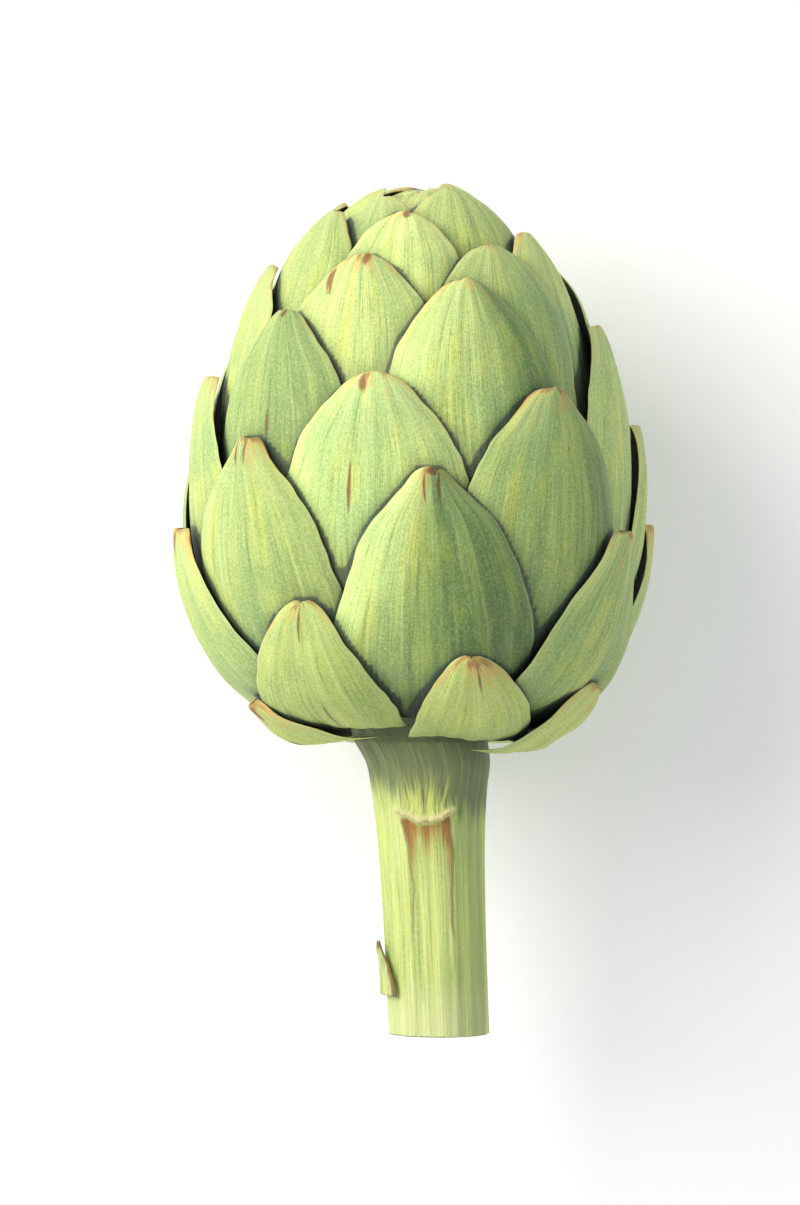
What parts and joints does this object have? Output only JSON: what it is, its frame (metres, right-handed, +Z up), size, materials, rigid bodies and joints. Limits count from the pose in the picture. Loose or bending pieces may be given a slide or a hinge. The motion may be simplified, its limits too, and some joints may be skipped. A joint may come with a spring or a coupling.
{
  "type": "globe artichoke",
  "caption": "Globe artichoke head of overlapping pointed bracts round a closed bud, on a short cut stem with a torn leaf stub, lying on its side.",
  "frame": {"origin": "centre of the artichoke's plan, on the surface that it lies on", "axes": "+Y from the cut stem to the crown, +Z up from the surface towards the front of the head, +X to the right when looking down with the crown away from the viewer"},
  "size_m": [0.1064, 0.1866, 0.1062],
  "materials": {
    "basal_bract": "pale yellow-green, softly matt, browned at the tip",
    "lower_bract": "mid green with fine lengthwise veins and a brown scorched tip, softly matt",
    "outer_bract": "mid green with fine lengthwise veins and a thin tan edge, softly matt",
    "middle_bract": "fresh green with fine lengthwise veins, softly matt",
    "upper_bract": "light green with fine lengthwise veins, softly matt",
    "inner_bract": "light yellow-green, softly matt",
    "crown_bract": "pale yellow-green, softly matt",
    "inner_bud": "pale yellow-green, softly matt",
    "stem": "light green with lengthwise fibres, softly matt, paler at the cut",
    "leaf_stub": "dull green with a torn brown edge, matt"
  },
  "bodies": {
    "root": {"basal_bract_1": "basal_bract", "basal_bract_2": "basal_bract", "basal_bract_3": "basal_bract", "basal_bract_4": "basal_bract", "basal_bract_5": "basal_bract", "basal_bract_6": "basal_bract", "crown_bract_1": "crown_bract", "crown_bract_2": "crown_bract", "crown_bract_3": "crown_bract", "crown_bract_4": "crown_bract", "inner_bract_1": "inner_bract", "inner_bract_2": "inner_bract", "inner_bract_3": "inner_bract", "inner_bract_4": "inner_bract", "inner_bract_5": "inner_bract", "inner_bract_6": "inner_bract", "inner_bract_7": "inner_bract", "inner_bract_8": "inner_bract", "inner_bract_9": "inner_bract", "inner_bud": "inner_bud", "leaf_stub": "leaf_stub", "lower_bract_1": "lower_bract", "lower_bract_2": "lower_bract", "lower_bract_3": "lower_bract", "lower_bract_4": "lower_bract", "lower_bract_5": "lower_bract", "lower_bract_6": "lower_bract", "lower_bract_7": "lower_bract", "middle_bract_1": "middle_bract", "middle_bract_2": "middle_bract", "middle_bract_3": "middle_bract", "middle_bract_4": "middle_bract", "middle_bract_5": "middle_bract", "middle_bract_6": "middle_bract", "middle_bract_7": "middle_bract", "outer_bract_1": "outer_bract", "outer_bract_2": "outer_bract", "outer_bract_3": "outer_bract", "outer_bract_4": "outer_bract", "outer_bract_5": "outer_bract", "outer_bract_6": "outer_bract", "outer_bract_7": "outer_bract", "outer_bract_8": "outer_bract", "stem_and_heart": "stem", "upper_bract_1": "upper_bract", "upper_bract_2": "upper_bract", "upper_bract_3": "upper_bract", "upper_bract_4": "upper_bract", "upper_bract_5": "upper_bract", "upper_bract_6": "upper_bract", "upper_bract_7": "upper_bract", "upper_bract_8": "upper_bract"}
  },
  "joints": []
}
